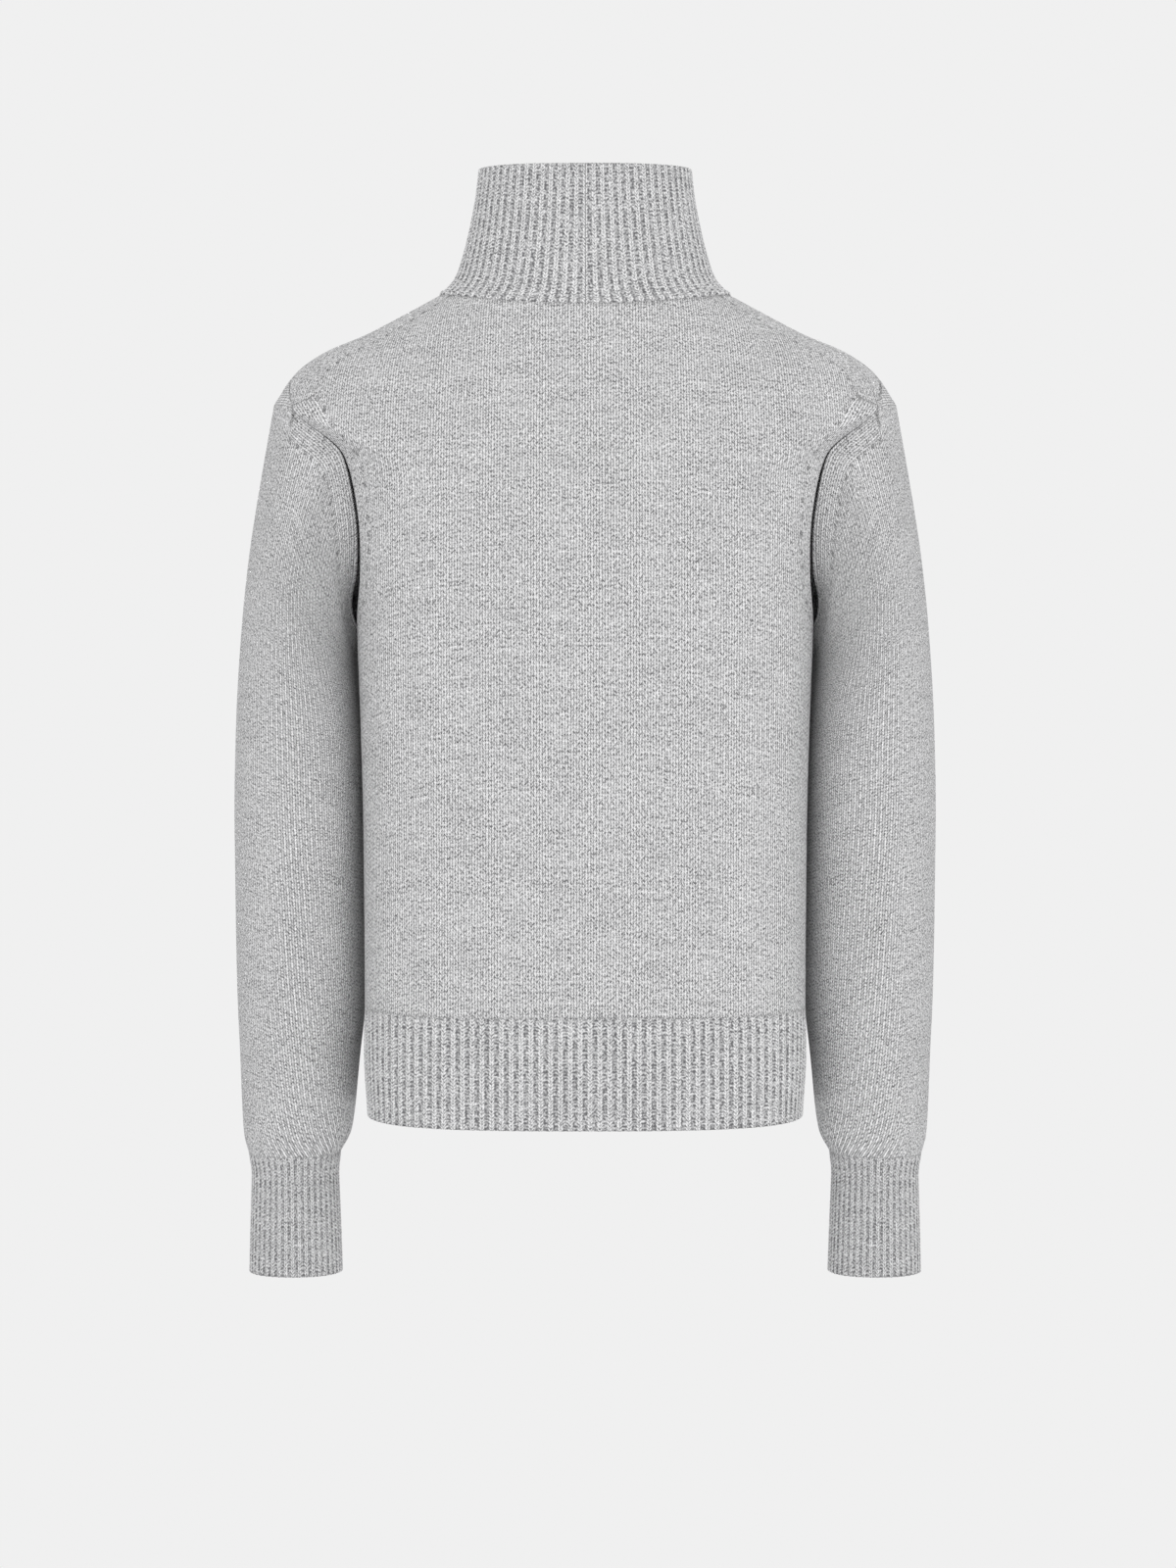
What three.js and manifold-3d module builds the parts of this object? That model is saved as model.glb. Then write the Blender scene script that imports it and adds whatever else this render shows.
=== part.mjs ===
// A zip-up sweater in plain knit with ribbed hem, cuffs and stand-up collar, hollow, in the form that it
// takes on a wearer. Millimetres. +Z is up, the front faces -Y and the wearer's left is +X. The origin is the
// middle of the neck, level with the points where the shoulders meet the collar.
import * as THREE from "three";
import { mergeVertices } from "three/addons/utils/BufferGeometryUtils.js";
import Module from "manifold-3d";

const wasm = await Module();
wasm.setup();

// ---- Driving sizes ----
const KNIT = 2.8; // wall of the plain knit
const RIB = 3.1; // wall of the hem and cuff ribs
const COLLAR = 4.2; // the collar's rib is doubled
const SEAM = 0.4; // gap along every seam
const SLOT = 3.3; // half the gap between the two front edges, which the zip's teeth fill

// ---- Shape tables: one row for each section, lowest first ----
// A body section is a ring. side* is its point at the wearer's side, back* and front* its middle points,
// square its roundness (2 is an ellipse) and drop how late the ring leaves the side's height.
// From the underarm to the tip the side point is only where the ring would be if the armhole were filled.
const BODY = [
  { at: "hem", sideX: 150.5, sideZ: -565, back: 104, backZ: -566, front: 108, frontZ: -566, square: 3.3, drop: 2 },
  { at: "rib", sideX: 152.2, sideZ: -528, back: 103, backZ: -528, front: 108, frontZ: -528, square: 3.2, drop: 2 },
  { at: "rib top", sideX: 151.2, sideZ: -490, back: 101, backZ: -491, front: 107, frontZ: -491, square: 3.1, drop: 2 },
  { at: "waist", sideX: 151.5, sideZ: -430, back: 101, backZ: -430, front: 109, frontZ: -430, square: 3, drop: 2 },
  { at: "ribs", sideX: 152, sideZ: -365, back: 101, backZ: -365, front: 113, frontZ: -365, square: 3, drop: 2 },
  { at: "bust", sideX: 153.5, sideZ: -300, back: 103, backZ: -300, front: 119, frontZ: -300, square: 3, drop: 2 },
  { at: "underarm", sideX: 156, sideZ: -232, back: 105, backZ: -232, front: 122, frontZ: -234, square: 3, drop: 2 },
  { at: "armhole", sideX: 159, sideZ: -192, back: 106, backZ: -204, front: 121, frontZ: -207, square: 3, drop: 2.4 },
  { at: "blade", sideX: 165, sideZ: -150, back: 106, backZ: -187, front: 119, frontZ: -191, square: 2.8, drop: 3 },
  { at: "cap", sideX: 179, sideZ: -108, back: 105, backZ: -170, front: 116, frontZ: -175, square: 2.4, drop: 3.6 },
  { at: "tip", sideX: 215.5, sideZ: -81, back: 103, backZ: -153, front: 113, frontZ: -159, square: 2.1, drop: 4 },
  { at: "slope 1", sideX: 210, sideZ: -69, back: 101, backZ: -138, front: 110, frontZ: -144, square: 2.1, drop: 3.8 },
  { at: "slope 2", sideX: 199, sideZ: -54, back: 98, backZ: -120, front: 107, frontZ: -128, square: 2.1, drop: 3.6 },
  { at: "slope 3", sideX: 180, sideZ: -40.5, back: 94, backZ: -99, front: 101, frontZ: -109, square: 2.1, drop: 3.2 },
  { at: "slope 4", sideX: 151, sideZ: -28, back: 86, backZ: -69, front: 93, frontZ: -87, square: 2.1, drop: 2.8 },
  { at: "slope 5", sideX: 125, sideZ: -14.5, back: 77, backZ: -38, front: 84, frontZ: -68, square: 2.1, drop: 2.4 },
  { at: "neck", sideX: 100, sideZ: -1, back: 68, backZ: -11, front: 75, frontZ: -52, square: 2.1, drop: 2 },
];
const RISE = [
  { at: "neck", sideX: 100, sideZ: -1, back: 68, backZ: -11, front: 75, frontZ: -52, square: 2.1, drop: 2 },
  { at: "flare", sideX: 89.5, sideZ: 11, back: 62, backZ: 2, front: 72, frontZ: -39, square: 2.1, drop: 2 },
  { at: "low", sideX: 83.5, sideZ: 28, back: 58.5, backZ: 20, front: 70.5, frontZ: -21, square: 2.2, drop: 2 },
  { at: "mid", sideX: 78.6, sideZ: 48, back: 56.5, backZ: 42, front: 69.5, frontZ: 1, square: 2.3, drop: 2 },
  { at: "high", sideX: 75, sideZ: 67, back: 55.5, backZ: 64, front: 69, frontZ: 23, square: 2.4, drop: 2 },
  { at: "top", sideX: 73, sideZ: 84.5, back: 55, backZ: 84, front: 68.5, frontZ: 43, square: 2.4, drop: 2 },
];
// A sleeve section is a ring about the arm: its outermost and innermost points, the depth of its middle,
// half its size from back to front, and its roundness. The first ring is drawn onto the armhole.
const SLEEVE = [
  { outX: 215.5, outZ: -80, inX: 157, inZ: -232, midY: 0, half: 52, square: 2.2 },
  { outX: 218.5, outZ: -98, inX: 159, inZ: -240, midY: 0, half: 53, square: 2.2 },
  { outX: 225, outZ: -134, inX: 159, inZ: -251, midY: -1, half: 55, square: 2.3 },
  { outX: 232, outZ: -178, inX: 157.8, inZ: -264, midY: -2, half: 57, square: 2.3 },
  { outX: 238.3, outZ: -235, inX: 156.4, inZ: -285, midY: -4, half: 58, square: 2.3 },
  { outX: 242.4, outZ: -300, inX: 155.4, inZ: -318, midY: -6, half: 57, square: 2.3 },
  { outX: 244, outZ: -365, inX: 155, inZ: -370, midY: -9, half: 55, square: 2.3 },
  { outX: 244, outZ: -425, inX: 154.8, inZ: -427, midY: -13, half: 52.5, square: 2.2 },
  { outX: 243.6, outZ: -480, inX: 155, inZ: -481, midY: -17, half: 49.5, square: 2.2 },
  { outX: 242.2, outZ: -530, inX: 158.8, inZ: -530, midY: -22, half: 46, square: 2.2 },
  { outX: 241.4, outZ: -565, inX: 161.8, inZ: -564, midY: -26, half: 42, square: 2.2 },
  { outX: 240.5, outZ: -585, inX: 165, inZ: -584, midY: -28, half: 37.5, square: 2.2 },
  { outX: 237.3, outZ: -600, inX: 172.5, inZ: -599, midY: -30, half: 31.8, square: 2.2 },
];
const CUFF = [
  { outX: 237.3, outZ: -600, inX: 172.5, inZ: -599, midY: -30, half: 31.8, square: 2.2 },
  { outX: 235.2, outZ: -615, inX: 174.3, inZ: -615, midY: -31, half: 29.3, square: 2.2 },
  { outX: 236.3, outZ: -647, inX: 173.3, inZ: -647, midY: -33, half: 29.8, square: 2.2 },
  { outX: 237.6, outZ: -685, inX: 172.3, inZ: -685, midY: -36, half: 31, square: 2.2 },
];
const levelOf = (name) => BODY.findIndex((row) => row.at === name);
const RIB_TOP = levelOf("rib top");
const UNDERARM = levelOf("underarm");
const NECK = levelOf("neck");

// The armhole is a loop on the body's surface, round at the underarm and squarer over the shoulder.
const ARMHOLE = { halfAngle: 28, low: UNDERARM, high: levelOf("tip") + 0.3, squareLow: 2, squareHigh: 6 };
// Where back, front and sleeve meet behind the shoulder, and the same place in front, as angles round the
// armhole from the underarm; the shoulder seam runs from there to the collar, behind the ridge.
const JOIN_BACK = 137;
const JOIN_FRONT = 223;
const SHOULDER_SEAM_NECK = 10; // the seam's angle behind the ridge, at the collar
const FRONT_LEVEL_AT_JOIN = 13.2; // the level on the front edge that is joined to the back join
const SLEEVE_SET_IN = 3; // rings that it takes the sleeve to turn from the armhole's loop to the arm's
// A soft crease stands up behind the shoulder and runs down the back of the sleeve.
const CREASE = { height: 2.2, width: 9, startAngle: 134, endAngle: 92, startRing: 0.3, endRing: 4.6 };

const EDGE_SHARE = 2; // how fast a panel's columns turn upright, away from its armhole and shoulder

// The sides of the body and the sleeves lie flat against each other, turned a little from front to back.
const LEAN = { slope: 0.06, reach: 55, startZ: -190, fullZ: -250, leaveZ: -480, endZ: -560 };

// How many stretches each part of the grids has.
const STEPS = { half: 11, armBack: 7, armTop: 4, armFront: 7, shoulder: 6, sleeve: 13, collar: 6, cuff: 3 };

// ---- Small helpers ----
const radians = THREE.MathUtils.degToRad;
const lerp = THREE.MathUtils.lerp;
const clamp = THREE.MathUtils.clamp;
const vec = (x, y, z) => new THREE.Vector3(x, y, z);
const steps = (from, to, count) => Array.from({ length: count + 1 }, (_, i) => lerp(from, to, i / count));
const moved = (point, direction, by) => point.clone().addScaledVector(direction, by);
const mirrored = (point) => vec(-point.x, point.y, point.z);

// A column of a table at any place between its rows, on a curve that doesn't overshoot them.
function column(table, key, place) {
  const last = table.length - 1;
  const row = clamp(Math.floor(place), 0, last - 1);
  const rise = (k) => table[k + 1][key] - table[k][key];
  const slope = (k) => {
    if (k === 0) return rise(0);
    if (k === last) return rise(last - 1);
    const before = rise(k - 1);
    const after = rise(k);
    return before * after <= 0 ? 0 : (2 * before * after) / (before + after);
  };
  const t = clamp(place - row, 0, 1);
  const step = t * t * (3 - 2 * t);
  const start = t * (1 - t) * (1 - t);
  const end = t * t * (t - 1);
  return table[row][key] + step * rise(row) + start * slope(row) + end * slope(row + 1);
}

// How far a point of a side moves outwards, by its height and its distance behind the middle.
function leanOf(y, z) {
  const below = THREE.MathUtils.smoothstep(z, LEAN.endZ, LEAN.leaveZ);
  const fade = below * THREE.MathUtils.smoothstep(-z, -LEAN.startZ, -LEAN.fullZ);
  return LEAN.slope * fade * clamp(y, -LEAN.reach, LEAN.reach);
}

// The unit superellipse's reach at an angle.
const rounding = (angle, square) =>
  (Math.abs(Math.cos(angle)) ** square + Math.abs(Math.sin(angle)) ** square) ** (-1 / square);

// ---- Surfaces ----
// A point of the outer surface of the body or collar. Angle 0 is the wearer's left, 90 the back, -90 the front.
function ringPoint(table, angle, level) {
  const at = (key) => column(table, key, level);
  const a = radians(angle);
  const reach = rounding(a, at("square"));
  const behind = Math.sin(a) > 0;
  const z = at("sideZ") + Math.abs(Math.sin(a)) ** at("drop") * (at(behind ? "backZ" : "frontZ") - at("sideZ"));
  const y = at(behind ? "back" : "front") * Math.sin(a) * reach;
  const side = Math.cos(a) * reach;
  return vec(at("sideX") * side + leanOf(y, z) * Math.max(side, 0) ** 4, y, z);
}

// The outward normal of a surface made by make(angle, level), from points close by.
function normalOf(make, angle, level, top) {
  const near = 0.5;
  const step = 0.02;
  const low = Math.max(level - step, 0);
  const high = Math.min(level + step, top);
  const round = make(angle + near, level).sub(make(angle - near, level));
  const up = make(angle, high).sub(make(angle, low));
  return round.cross(up).normalize();
}

const bodyPoint = (angle, level) => ringPoint(BODY, angle, level);
const bodyNormal = (angle, level) => normalOf(bodyPoint, angle, level, NECK);
const collarPoint = (angle, level) => ringPoint(RISE, angle, level);
const collarNormal = (angle, level) => normalOf(collarPoint, angle, level, RISE.length - 1);

// The armhole's place on the body: 0 is the underarm, 90 the back, 180 over the shoulder, 270 the front.
function armhole(turn) {
  const a = radians(turn);
  const square = Math.cos(a) > 0 ? ARMHOLE.squareLow : ARMHOLE.squareHigh;
  const reach = rounding(a, square);
  const middle = (ARMHOLE.low + ARMHOLE.high) / 2;
  return {
    angle: ARMHOLE.halfAngle * Math.sin(a) * reach,
    level: middle - (ARMHOLE.high - ARMHOLE.low) * 0.5 * Math.cos(a) * reach,
  };
}

function armRing(table, turn, ring) {
  const at = (key) => column(table, key, ring);
  const a = radians(turn);
  const reach = rounding(a, at("square"));
  const across = 0.5 - 0.5 * Math.cos(a) * reach;
  const y = at("midY") + at("half") * Math.sin(a) * reach;
  const z = lerp(at("inZ"), at("outZ"), across);
  return vec(lerp(at("inX"), at("outX"), across) + leanOf(y, z) * (1 - clamp(across, 0, 1)) ** 2, y, z);
}

// A point of the sleeve's outer surface: the armhole's loop turns into the arm's rings, and the crease is added.
function sleevePoint(turn, ring) {
  const place = armhole(turn);
  const set = THREE.MathUtils.smoothstep(ring, 0, SLEEVE_SET_IN);
  const point = bodyPoint(place.angle, place.level).lerp(armRing(SLEEVE, turn, ring), set);
  const along = (ring - CREASE.startRing) / (CREASE.endRing - CREASE.startRing);
  if (along <= 0 || along >= 1) return point;
  const centre = lerp(CREASE.startAngle, CREASE.endAngle, Math.sqrt(along));
  const side = (turn - centre) / CREASE.width;
  const lift = CREASE.height * Math.sin(Math.PI * Math.sqrt(along)) * Math.exp(-side * side);
  const middle = armRing(SLEEVE, 0, ring).lerp(armRing(SLEEVE, 180, ring), 0.5);
  return moved(point, point.clone().sub(middle).normalize(), lift);
}
const cuffPoint = (turn, ring) => armRing(CUFF, turn, ring);
// The arm's rings run down and round the other way, which turns the normal inwards twice, so it is outward.
const sleeveNormal = (turn, ring) => normalOf(sleevePoint, turn, ring, SLEEVE.length - 1);
const cuffNormal = (turn, ring) => normalOf(cuffPoint, turn, ring, CUFF.length - 1);

// At a seam two walls meet at an angle. away is the direction from the first wall across to the second one,
// and out is the direction that both walls are thick in.
function seamFrame(along, intoFirst, intoSecond, outward) {
  const t = along.normalize();
  const flat = (v) => v.clone().addScaledVector(t, -v.dot(t)).normalize();
  const away = flat(intoSecond).sub(flat(intoFirst)).normalize();
  const out = t.clone().cross(away).multiplyScalar(outward);
  return { away, out };
}

function armholeSeam(turn) {
  const at = (t) => {
    const place = armhole(t);
    return bodyPoint(place.angle, place.level);
  };
  const place = armhole(turn);
  const along = at(turn + 1).sub(at(turn - 1));
  const point = at(turn);
  const intoBody = along.clone().cross(bodyNormal(place.angle, place.level));
  const intoSleeve = sleevePoint(turn, 0.4).sub(sleevePoint(turn, 0));
  return { point, ...seamFrame(along, intoBody, intoSleeve, 1) };
}

function neckSeam(angle) {
  const along = collarPoint(angle + 1, 0).sub(collarPoint(angle - 1, 0));
  const intoBody = bodyPoint(angle, NECK - 0.2).sub(bodyPoint(angle, NECK));
  const intoCollar = collarPoint(angle, 0.2).sub(collarPoint(angle, 0));
  return { point: collarPoint(angle, 0), ...seamFrame(along, intoBody, intoCollar, 1) };
}

// ---- Grids to solids ----
// A cell of a grid is a point of the outer face and the direction towards the wall's inner face.
const cell = (point, out) => ({ point, out });

// Draws the grid's edge cells back from the seam, towards their neighbours.
function drawBack(cells, neighbours) {
  cells.forEach((c, i) => {
    c.point = moved(c.point, neighbours[i].point.clone().sub(c.point).normalize(), SEAM / 2);
  });
}

// A closed wall from rows of cells, thick inwards from depth near to depth far.
function wall(rows, far, near = 0, tube = false) {
  const rowCount = rows.length;
  const columnCount = rows[0].length;
  const depthAt = (depth, row) => (typeof depth === "function" ? depth(row) : depth);
  const positions = [];
  for (const depth of [near, far]) {
    rows.forEach((row, i) => {
      for (const { point, out } of row) positions.push(...moved(point, out, -depthAt(depth, i)).toArray());
    });
  }
  const outer = (i, j) => i * columnCount + (j % columnCount);
  const inner = (i, j) => rowCount * columnCount + outer(i, j);
  const index = [];
  const at = (k) => new THREE.Vector3().fromArray(positions, 3 * k);
  // Each quad is cut along its shorter diagonal.
  const quad = (a, b, c, d) => {
    const first = at(a).distanceTo(at(c)) <= at(b).distanceTo(at(d));
    index.push(...(first ? [a, b, c, a, c, d] : [a, b, d, b, c, d]));
  };
  const across = tube ? columnCount : columnCount - 1;
  for (let j = 0; j < across; j++) {
    for (let i = 0; i < rowCount - 1; i++) {
      quad(outer(i, j), outer(i, j + 1), outer(i + 1, j + 1), outer(i + 1, j));
      quad(inner(i, j), inner(i + 1, j), inner(i + 1, j + 1), inner(i, j + 1));
    }
    const last = rowCount - 1;
    quad(outer(0, j), inner(0, j), inner(0, j + 1), outer(0, j + 1));
    quad(outer(last, j), outer(last, j + 1), inner(last, j + 1), inner(last, j));
  }
  if (!tube) {
    for (let i = 0; i < rowCount - 1; i++) {
      const end = columnCount - 1;
      quad(outer(i, 0), outer(i + 1, 0), inner(i + 1, 0), inner(i, 0));
      quad(outer(i, end), inner(i, end), inner(i + 1, end), outer(i + 1, end));
    }
  }
  return closed(positions, index);
}

// Geometry from points and triangles, turned so that its faces point out.
function closed(positions, index) {
  const at = (k) => new THREE.Vector3().fromArray(positions, 3 * k);
  let volume = 0;
  for (let k = 0; k < index.length; k += 3) {
    volume += at(index[k]).dot(at(index[k + 1]).cross(at(index[k + 2])));
  }
  const turned = volume < 0 ? index.slice().reverse() : index;
  const geometry = new THREE.BufferGeometry();
  geometry.setAttribute("position", new THREE.Float32BufferAttribute(positions, 3));
  geometry.setIndex(turned);
  geometry.computeVertexNormals();
  return geometry;
}

const mirroredRows = (rows) => rows.map((row) => row.map((c) => cell(mirrored(c.point), mirrored(c.out))));
// The half grid and its mirror image as one, with the middle column once.
const wholeRows = (rows) =>
  mirroredRows(rows).map((row, i) => [...rows[i].slice(0, -1), ...row.slice().reverse()]);

// ---- Body panels ----
const shoulderAngle = (level) => {
  const join = armhole(JOIN_BACK);
  return lerp(join.angle, SHOULDER_SEAM_NECK, (level - join.level) / (NECK - join.level));
};
const joinLevel = armhole(JOIN_BACK).level;
const sideLevels = steps(RIB_TOP, UNDERARM, UNDERARM - RIB_TOP).slice(0, -1);
const shoulderLevels = steps(joinLevel, NECK, STEPS.shoulder).slice(1);
const backTurns = steps(0, JOIN_BACK, STEPS.armBack);
const topTurns = steps(JOIN_BACK, JOIN_FRONT, STEPS.armTop);
const frontTurns = steps(JOIN_FRONT, 360, STEPS.armFront);
// The angle at which a ring of a table reaches the front edge beside the zip.
const frontEdgeAngle = (table, level, x = SLOT) => -THREE.MathUtils.radToDeg(Math.acos(x / column(table, "sideX", level)));

// A panel's rows, each from its outer edge in to the middle of the body.
function backOutline() {
  return [
    ...sideLevels.map((level) => ({ angle: 0, level })),
    ...backTurns.map((turn) => ({ ...armhole(turn), turn })),
    ...shoulderLevels.map((level) => ({ angle: shoulderAngle(level), level })),
  ].map((row) => ({ ...row, middleAngle: 90, middleLevel: row.level }));
}
function frontOutline() {
  const frontJoin = armhole(JOIN_FRONT).level;
  const rows = [
    ...sideLevels.map((level) => ({ angle: 0, level, middleLevel: level })),
    ...frontTurns
      .toReversed()
      .map((turn) => ({ ...armhole(turn), turn, middleLevel: armhole(turn).level })),
    ...topTurns
      .toReversed()
      .slice(1)
      .map((turn, i) => ({
        ...armhole(turn),
        turn,
        middleLevel: lerp(frontJoin, FRONT_LEVEL_AT_JOIN, (i + 1) / STEPS.armTop),
      })),
    ...shoulderLevels.map((level, i) => ({
      angle: shoulderAngle(level),
      level,
      middleLevel: lerp(FRONT_LEVEL_AT_JOIN, NECK, (i + 1) / STEPS.shoulder),
    })),
  ];
  return rows.map((row) => ({ ...row, middleAngle: frontEdgeAngle(BODY, row.middleLevel) }));
}

function panelRows(outline) {
  const rows = outline.map((row) =>
    steps(0, 1, STEPS.half).map((u) => {
      const angle = row.middleAngle * u + row.angle * (1 - u) ** EDGE_SHARE;
      const level = lerp(row.level, row.middleLevel, u * (2 - u));
      return cell(bodyPoint(angle, level), bodyNormal(angle, level));
    }),
  );
  drawBack(rows.map((row) => row[0]), rows.map((row) => row[1]));
  drawBack(rows[0], rows[1]);
  outline.forEach((row, i) => {
    if (row.turn === undefined) return;
    const seam = armholeSeam(row.turn);
    rows[i][0] = cell(moved(seam.point, seam.away, -SEAM / 2), seam.out);
  });
  const top = outline.at(-1);
  rows[rows.length - 1] = steps(0, 1, STEPS.half).map((u) => {
    const seam = neckSeam(lerp(top.angle, top.middleAngle, u));
    return cell(moved(seam.point, seam.away, -SEAM / 2), seam.out);
  });
  drawBack([rows.at(-1)[0]], [rows.at(-1)[1]]);
  return rows;
}

// The hem's rib, from a side seam to the middle of the back or to the zip.
function hemRows(middleOf) {
  const rows = [0, 0.5, 1, 1.5, RIB_TOP].map((level) =>
    steps(0, 1, STEPS.half).map((u) => {
      const angle = lerp(0, middleOf(level), u);
      return cell(bodyPoint(angle, level), bodyNormal(angle, level));
    }),
  );
  drawBack(rows.map((row) => row[0]), rows.map((row) => row[1]));
  drawBack(rows.at(-1), rows.at(-2));
  return rows;
}

function collarRows() {
  const half = (level) => [
    ...steps(frontEdgeAngle(RISE, level), SHOULDER_SEAM_NECK, STEPS.half).slice(0, -1),
    ...steps(SHOULDER_SEAM_NECK, 90, STEPS.half),
  ];
  const rows = steps(0, RISE.length - 1, STEPS.collar).map((level) =>
    half(level).map((angle) => {
      if (level > 0) return cell(collarPoint(angle, level), collarNormal(angle, level));
      const seam = neckSeam(angle);
      return cell(moved(seam.point, seam.away, SEAM / 2), seam.out);
    }),
  );
  return wholeRows(rows);
}

// ---- Sleeves and cuffs ----
const roundTurns = [...backTurns.slice(0, -1), ...topTurns.slice(0, -1), ...frontTurns.slice(0, -1)];

function sleeveRows() {
  const rings = [0, 0.5, 1, 1.6, 2.3, 3, 4, 5, 6, 7, 8, 9, 10, 11, SLEEVE.length - 1];
  const rows = rings.map((ring) =>
    roundTurns.map((turn) => {
      if (ring > 0) return cell(sleevePoint(turn, ring), sleeveNormal(turn, ring));
      const seam = armholeSeam(turn);
      return cell(moved(seam.point, seam.away, SEAM / 2), seam.out);
    }),
  );
  drawBack(rows.at(-1), rows.at(-2));
  return rows;
}

function cuffRows() {
  const rows = steps(0, CUFF.length - 1, 2 * STEPS.cuff).map((ring) =>
    roundTurns.map((turn) => cell(cuffPoint(turn, ring), cuffNormal(turn, ring))),
  );
  drawBack(rows[0], rows[1]);
  return rows;
}

// ---- Zip ----
const TAPE = { inner: 1.4, outer: 16, thick: 0.9 };
const TEETH = { inner: 0.15, outer: 2.85, proud: 2.4 };
const TAPE_GAP = 0.4; // between the knit's inner face and the tape
const TEETH_GAP = 0.3; // between the teeth and the tape that carries them
const BOX = { half: 2.85, height: 9 };
const SLIDER = { width: 8.4, height: 11, plate: 1.3, standOff: 0.6, web: 2, webHeight: 3.4, below: 13 };
const BAIL = { width: 1.8, height: 8, wire: 1.3, gap: 2.5 };
const PULL = { width: 6.6, length: 27, thick: 1.4, bar: 1.3, window: 7.4, windowWidth: 3.4, hole: 1.5 };

// The levels down the front edge, with the wall's thickness there: hem rib, front panel, then collar.
function zipStations() {
  const hem = [0, 0.5, 1, 1.5].map((level) => ({ table: BODY, level, thick: RIB }));
  const panel = frontOutline().map((row) => ({ table: BODY, level: row.middleLevel, thick: RIB }));
  panel.at(-1).thick = COLLAR;
  const collar = steps(0, RISE.length - 1, STEPS.collar)
    .slice(1)
    .map((level) => ({ table: RISE, level, thick: COLLAR }));
  return [...hem, ...panel, ...collar];
}
const stationPoint = (s, x) => ringPoint(s.table, frontEdgeAngle(s.table, s.level, x), s.level);
const stationNormal = (s, x) =>
  s.table === BODY && s.level < NECK
    ? bodyNormal(frontEdgeAngle(BODY, s.level, x), s.level)
    : collarNormal(frontEdgeAngle(RISE, s.table === BODY ? 0 : s.level, x), s.table === BODY ? 0 : s.level);

// A strip beside the zip's middle line, between two distances from it and two depths under the knit's face.
function zipStrip(stations, xs, nearOf, farOf) {
  const rows = stations.map((s) => xs.map((x) => cell(stationPoint(s, x), stationNormal(s, SLOT))));
  return wall(rows, (i) => farOf(stations[i]), (i) => nearOf(stations[i]));
}

const tapeDepth = (s) => s.thick + TAPE_GAP;
const frontTopZ = RISE.at(-1).frontZ;
const sliderBase = frontTopZ - SLIDER.below; // the lower end of the slider
const webBase = sliderBase + SLIDER.height - SLIDER.webHeight;

// The stations between two heights, with one more at each end.
function stationsBetween(low, high) {
  const all = zipStations();
  const heights = all.map((s) => stationPoint(s, 0).z);
  const placeAt = (z) => {
    const k = clamp(heights.findIndex((h) => h > z), 1, all.length - 1);
    const share = (z - heights[k - 1]) / (heights[k] - heights[k - 1]);
    const below = all[k - 1].table === all[k].table ? all[k - 1].level : 0;
    return { ...all[k], level: lerp(below, all[k].level, share), thick: Math.max(all[k - 1].thick, all[k].thick) };
  };
  const clear = 1.5;
  const inside = all.filter((_, k) => heights[k] > low + clear && heights[k] < high - clear);
  return [placeAt(low), ...inside, placeAt(high)];
}

const hemZ = BODY[0].frontZ;
const tape = () => zipStrip(zipStations(), [TAPE.inner, 6, TAPE.outer], tapeDepth, (s) => tapeDepth(s) + TAPE.thick);
const teethNear = (s) => tapeDepth(s) - TEETH_GAP - TEETH.proud;
const teethFar = (s) => tapeDepth(s) - TEETH_GAP;
const strip = (low, high, from, to) => zipStrip(stationsBetween(low, high), [from, to], teethNear, teethFar);
const teeth = () => strip(hemZ + BOX.height + SEAM, webBase - SEAM, TEETH.inner, TEETH.outer);
const topStop = () => strip(webBase + SLIDER.webHeight + SEAM, frontTopZ - 0.6, 1.5, TEETH.outer);
const zipBox = () => {
  const stations = stationsBetween(hemZ + 0.5, hemZ + BOX.height);
  const rows = stations.map((s) =>
    [-1, 1].map((side) => {
      const p = stationPoint(s, BOX.half);
      return cell(vec(side * p.x, p.y, p.z), stationNormal(s, SLOT));
    }),
  );
  return wall(rows, (i) => teethFar(stations[i]), (i) => teethNear(stations[i]) - 0.5);
};

function toSolid(geometry) {
  const bare = geometry.clone();
  bare.deleteAttribute("normal");
  bare.deleteAttribute("uv");
  const merged = mergeVertices(bare, 1e-4);
  const mesh = { numProp: 3, vertProperties: merged.attributes.position.array };
  return new wasm.Manifold(new wasm.Mesh({ ...mesh, triVerts: new Uint32Array(merged.index.array) }));
}
function toGeometry(solid) {
  const mesh = solid.getMesh();
  return closed([...mesh.vertProperties], [...mesh.triVerts]);
}

// A plate in the XZ plane with round corners, its front face at y, thick towards +Y.
function plate(width, low, high, radius, y, thick, holes = []) {
  const half = width / 2;
  const shape = new THREE.Shape();
  shape.moveTo(-half + radius, low);
  shape.lineTo(half - radius, low);
  shape.absarc(half - radius, low + radius, radius, -Math.PI / 2, 0);
  shape.absarc(half - radius, high - radius, radius, 0, Math.PI / 2);
  shape.absarc(-half + radius, high - radius, radius, Math.PI / 2, Math.PI);
  shape.absarc(-half + radius, low + radius, radius, Math.PI, 1.5 * Math.PI);
  shape.holes.push(...holes);
  const made = new THREE.ExtrudeGeometry(shape, { depth: thick, bevelEnabled: false, curveSegments: 3 });
  return made.rotateX(Math.PI / 2).translate(0, y + thick, 0);
}
const bar = (width, depth, height, x, y, z) => new THREE.BoxGeometry(width, depth, height).translate(x, y, z);

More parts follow.
